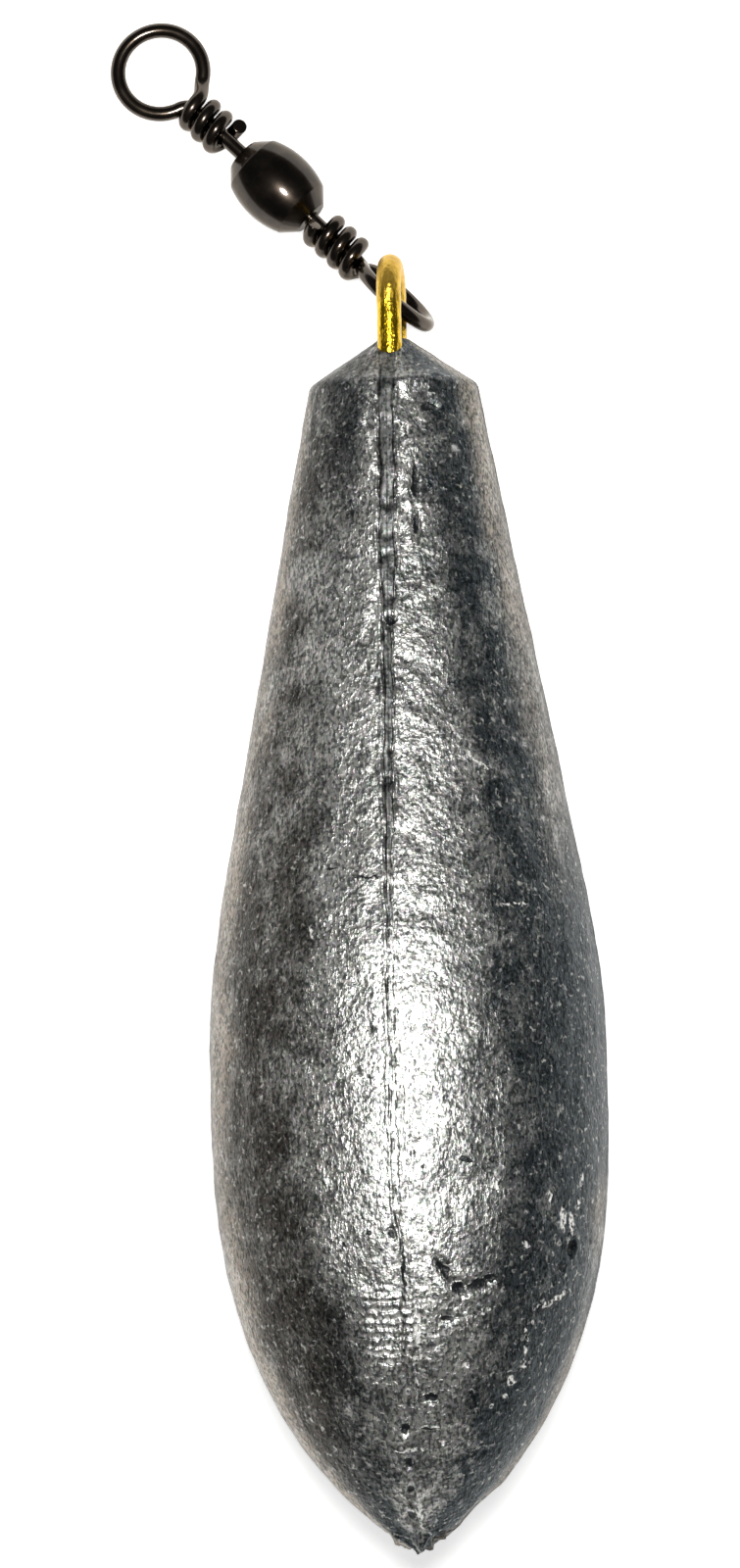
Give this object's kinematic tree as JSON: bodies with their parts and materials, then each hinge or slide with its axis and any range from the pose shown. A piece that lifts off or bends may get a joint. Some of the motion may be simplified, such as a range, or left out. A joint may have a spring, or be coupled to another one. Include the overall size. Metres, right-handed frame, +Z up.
{
  "type": "fishing sinker",
  "caption": "Torpedo shaped cast lead sinker with a cast-in brass wire eye and a barrel swivel linked into it, for holding a bait on the sea bed.",
  "frame": {"origin": "on the table, under the middle of the part's box, as it lies on its side", "axes": "+Y along the lead from its tip to its eye, +Z up from the table, +X to the right seen from above"},
  "size_m": [0.0286, 0.0921, 0.0245],
  "materials": {
    "cast_lead": "dull grey cast lead with bright rubbed specks",
    "brass_wire": "bright drawn wire",
    "black_nickel": "polished black nickel plating"
  },
  "bodies": {
    "sinker": {"lead_body": "cast_lead", "brass_eye": "brass_wire"},
    "lower_eye": {"sinker_eye": "black_nickel"},
    "barrel": {"swivel_barrel": "black_nickel"},
    "upper_eye": {"line_eye": "black_nickel"}
  },
  "joints": [
    {"name": "link_swing", "type": "hinge", "parent": "sinker", "child": "lower_eye", "pos_m": [0.00255, 0.02919, 0.00455], "axis": [0.6719, 0.7245, 0.1538], "range_deg": [-150, 40]},
    {"name": "barrel_spin", "type": "hinge", "parent": "lower_eye", "child": "barrel", "pos_m": [-0.00438, 0.03595, 0.003], "axis": [-0.7012, 0.6891, -0.1827], "continuous": true},
    {"name": "line_eye_spin", "type": "hinge", "parent": "barrel", "child": "upper_eye", "pos_m": [-0.00438, 0.03595, 0.003], "axis": [-0.7012, 0.6891, -0.1827], "continuous": true}
  ]
}
